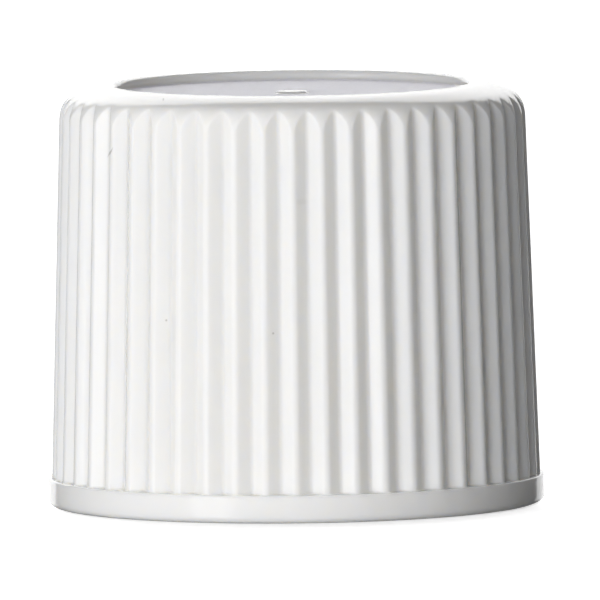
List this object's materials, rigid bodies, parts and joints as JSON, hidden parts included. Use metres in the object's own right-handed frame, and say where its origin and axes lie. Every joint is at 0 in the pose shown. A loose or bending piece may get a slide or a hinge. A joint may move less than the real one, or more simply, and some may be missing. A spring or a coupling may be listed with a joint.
{
  "type": "continuous thread cap",
  "caption": "White moulded screw cap: ribbed tapered skirt, smooth base band, rounded shoulder, shallow round recess in the top and a sealing liner inside.",
  "frame": {"origin": "centre of the open mouth's rim, on the cap's axis", "axes": "+Z along the cap's axis, from the open mouth to the closed top; -Y faces the viewer of the picture"},
  "size_m": [0.0236, 0.0236, 0.02],
  "materials": {
    "white_plastic": "semi-gloss moulded, with a finely stippled matte floor in the top recess",
    "liner_foam": "smooth matte foamed sheet"
  },
  "bodies": {
    "root": {"cap_shell": "white_plastic", "liner": "liner_foam"}
  },
  "joints": []
}
